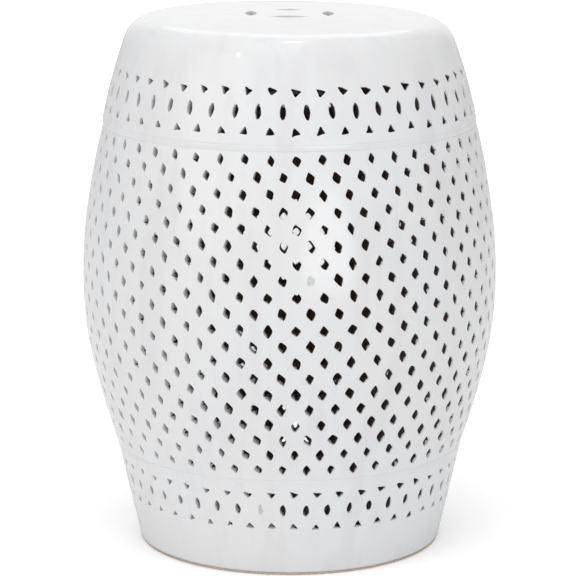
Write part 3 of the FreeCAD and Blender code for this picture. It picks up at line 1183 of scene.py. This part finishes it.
# floor, lamps and camera
stage = {
    "floorSize": 60,
    "floorColour": (0.95, 0.95, 0.95),
    "floorRough": 0.9,
    "nearGlow": 0.25,
    "farGlow": 0.70,
    "glowSpan": (0.6, 2.5),
    "shadePlace": (0.0, 1.7, 0.0),  # painted shadow: the strip of floor behind the stool gets no glow, and is seen through the holes only
    "shadeReach": (0.20, 1.6),
    "shadeEdge": (0.7, 1.0),
    "skyLight": 0.61,
    "sideSpan": (0.15, 0.6),
    "sideDark": 0.5,
    "cameraPlace": (-0.00065, -2.5718, 0.7747),
    "cameraPitch": 77.792,
    "lens": 190.2,
    "sensor": 36,
    "shift": -0.0013,
    "cameraReach": 100,
}


def makeStage():
    deselectAll()
    bpy.ops.mesh.primitive_plane_add(size=stage["floorSize"])
    floor = bpy.context.object
    floor.name = "floor"
    material, tree, shader = newMaterial("pale_floor")
    shader.inputs["Base Color"].default_value = (*stage["floorColour"], 1)
    shader.inputs["Roughness"].default_value = stage["floorRough"]
    shader.inputs["Specular IOR Level"].default_value = 0.0
    path = tree.nodes.new("ShaderNodeLightPath")
    # the glow grows with the distance, and none of it is under the stool
    away = lengthOf(tree, objectCoordinates(tree))
    glow = rangeOf(tree, away, *stage["glowSpan"], stage["nearGlow"], stage["farGlow"])
    glow = mathOf(tree, "MULTIPLY", glow, rangeOf(tree, away, ringBore, footHigh.x))
    # painted shadow: an oval of floor behind the stool is left without glow
    halfWide, halfLong = stage["shadeReach"]
    oval = objectCoordinates(tree, (1 / halfWide, 1 / halfLong, 1))
    x, y, z = stage["shadePlace"]
    shade = lengthOf(tree, oval, (x / halfWide, y / halfLong, z))
    glow = mathOf(tree, "MULTIPLY", glow, rangeOf(tree, shade, *stage["shadeEdge"]))
    light = tree.nodes.new("ShaderNodeEmission")
    glow = mathOf(tree, "MULTIPLY", glow, path.outputs["Is Camera Ray"])
    tree.links.new(glow, light.inputs["Strength"])
    both = tree.nodes.new("ShaderNodeAddShader")
    tree.links.new(shader.outputs[0], both.inputs[0])
    tree.links.new(light.outputs[0], both.inputs[1])
    tree.links.new(both.outputs[0], tree.nodes["Material Output"].inputs["Surface"])
    floor.data.materials.append(material)

    world = bpy.data.worlds.new("studio")
    bpy.context.scene.world = world
    world.use_nodes = True
    tree = world.node_tree
    background = tree.nodes["Background"]
    path = tree.nodes.new("ShaderNodeLightPath")
    seen = mathOf(tree, "MAXIMUM", path.outputs["Is Camera Ray"], path.outputs["Is Glossy Ray"])
    # the sides of the studio are darker in the glaze's reflections
    coordinates = tree.nodes.new("ShaderNodeTexCoord")
    split = tree.nodes.new("ShaderNodeSeparateXYZ")
    tree.links.new(coordinates.outputs["Generated"], split.inputs["Vector"])
    beside = mathOf(tree, "ABSOLUTE", split.outputs["X"], 0.0)
    dark = rangeOf(tree, beside, *stage["sideSpan"], 0.0, stage["sideDark"])
    dark = mathOf(tree, "MULTIPLY", dark, path.outputs["Is Glossy Ray"])
    sky = rangeOf(tree, seen, 0.0, 1.0, stage["skyLight"], 1.0)
    tree.links.new(mathOf(tree, "SUBTRACT", sky, dark), background.inputs["Strength"])
    background.inputs["Color"].default_value = (1, 1, 1, 1)


# "mirrored" says whether the glaze shows a lamp
lamps = {
    "top": {
        "place": (0.0, -0.6, 3.0),
        "aimHeight": 0.40,
        "size": 2.2,
        "power": 26,
        "colour": (1, 1, 1),
        "mirrored": False,
    },
    "back": {
        "place": (0.0, 1.3, 1.45),
        "aimHeight": 0.44,
        "size": 1.1,
        "power": 1.5,
        "colour": (1, 1, 1),
        "mirrored": True,
    },
    "small": {
        "place": (0.085, 0.45, 2.3),
        "aimHeight": 0.45,
        "size": 0.20,
        "power": 0.8,
        "colour": (1, 1, 1),
        "mirrored": True,
    },
    "front": {
        "place": (1.1, -2.8, 0.25),
        "aimHeight": 0.15,
        "size": 1.4,
        "power": 12,
        "colour": (0.95, 0.98, 1),
        "mirrored": True,
    },
    "left": {
        "place": (-2.6, -2.4, 1.6),
        "aimHeight": 0.25,
        "size": 3.0,
        "power": 23.5,
        "colour": (1, 0.975, 0.965),
        "mirrored": True,
    },
    "right": {
        "place": (2.8, -2.0, 1.4),
        "aimHeight": 0.25,
        "size": 3.0,
        "power": 2.5,
        "colour": (0.96, 0.98, 1),
        "mirrored": True,
    },
}


def makeLamps():
    for name, lamp in lamps.items():
        bpy.ops.object.light_add(type="AREA", location=lamp["place"])
        light = bpy.context.object
        light.name = name + "_softbox"
        light.data.shape = "DISK"
        light.data.size = lamp["size"]
        light.data.energy = lamp["power"]
        light.data.color = lamp["colour"]
        light.visible_camera = False
        light.visible_glossy = lamp["mirrored"]
        towards = Vector((0, 0, lamp["aimHeight"])) - Vector(lamp["place"])
        light.rotation_euler = towards.to_track_quat("-Z", "Y").to_euler()


def makeCamera():
    bpy.ops.object.camera_add(location=stage["cameraPlace"])
    camera = bpy.context.object
    camera.rotation_euler = (math.radians(stage["cameraPitch"]), 0, 0)
    camera.data.lens = stage["lens"]
    camera.data.sensor_width = stage["sensor"]
    camera.data.shift_x = stage["shift"]
    camera.data.clip_end = stage["cameraReach"]
    bpy.context.scene.camera = camera


deselectAll()
makeStage()
makeLamps()
makeCamera()
bpy.context.scene.view_settings.view_transform = "Standard"
print("stage set")
